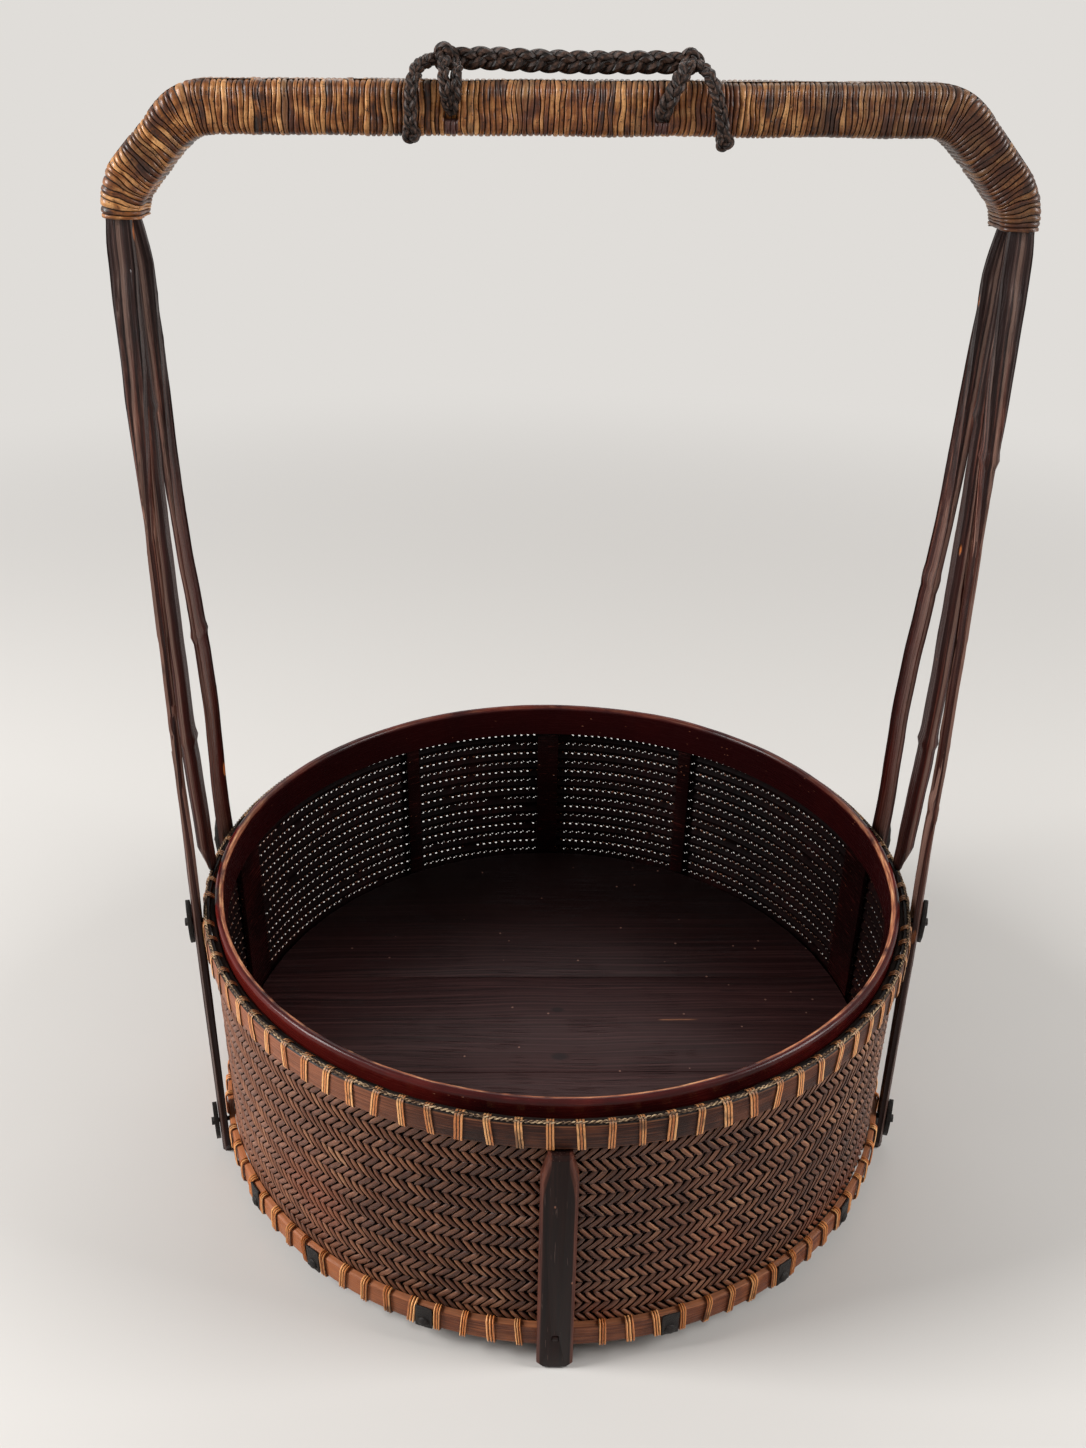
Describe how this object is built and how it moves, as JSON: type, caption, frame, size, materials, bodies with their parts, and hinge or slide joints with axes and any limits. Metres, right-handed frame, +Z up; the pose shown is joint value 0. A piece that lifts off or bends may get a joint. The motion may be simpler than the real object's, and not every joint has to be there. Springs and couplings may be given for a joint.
{
  "type": "round bamboo basket",
  "caption": "Round open basket of woven split bamboo with lashed hoops, a plank floor, feet and a tall fixed handle wrapped in cane, with a rope grip.",
  "frame": {"origin": "on the ground under the centre of the basket", "axes": "+Z up, -Y towards the front foot, the handle's arch in the XZ plane"},
  "size_m": [0.3977, 0.3888, 0.5555],
  "materials": {
    "lacquer": "worn dark red lacquer, glossy",
    "bamboo": "brown varnished bamboo, semi-gloss",
    "dark_bamboo": "dark lacquered bamboo with worn reddish edges",
    "weave": "twined split bamboo, satin",
    "cane": "amber split cane, semi-gloss",
    "plank": "dark lacquered plank with open grain",
    "iron": "blackened iron",
    "rope": "dark plaited fibre rope, matte"
  },
  "bodies": {
    "root": {"back_foot": "dark_bamboo", "back_foot_peg": "dark_bamboo", "bottom_lashing": "cane", "brace_left_back": "dark_bamboo", "brace_left_front": "dark_bamboo", "brace_right_back": "dark_bamboo", "brace_right_front": "dark_bamboo", "cane_wrap": "cane", "cleat_base_left_back": "iron", "cleat_base_left_front": "iron", "cleat_base_right_back": "iron", "cleat_base_right_front": "iron", "cleat_rim_left_back": "iron", "cleat_rim_left_front": "iron", "cleat_rim_right_back": "iron", "cleat_rim_right_front": "iron", "floor_plank_back": "plank", "floor_plank_front": "plank", "floor_plank_middle": "plank", "front_foot": "dark_bamboo", "front_foot_peg": "dark_bamboo", "handle_pole": "bamboo", "inner_bottom_hoop": "dark_bamboo", "lacquered_collar": "lacquer", "outer_bottom_hoop": "bamboo", "outer_top_hoop": "bamboo", "rim_filler": "dark_bamboo", "rope_braid": "rope", "rope_hitch_left": "rope", "rope_hitch_right": "rope", "stile_back": "lacquer", "stile_back_left": "lacquer", "stile_back_right": "lacquer", "stile_front": "lacquer", "stile_front_left": "lacquer", "stile_front_right": "lacquer", "stile_left_back": "lacquer", "stile_left_front": "lacquer", "stile_right_back": "lacquer", "stile_right_front": "lacquer", "strap_back_left_1": "iron", "strap_back_left_2": "iron", "strap_back_left_3": "iron", "strap_back_right_1": "iron", "strap_back_right_2": "iron", "strap_back_right_3": "iron", "strap_front_left_1": "iron", "strap_front_left_2": "iron", "strap_front_left_3": "iron", "strap_front_right_1": "iron", "strap_front_right_2": "iron", "strap_front_right_3": "iron", "top_lashing": "cane", "woven_wall": "weave"}
  },
  "joints": []
}
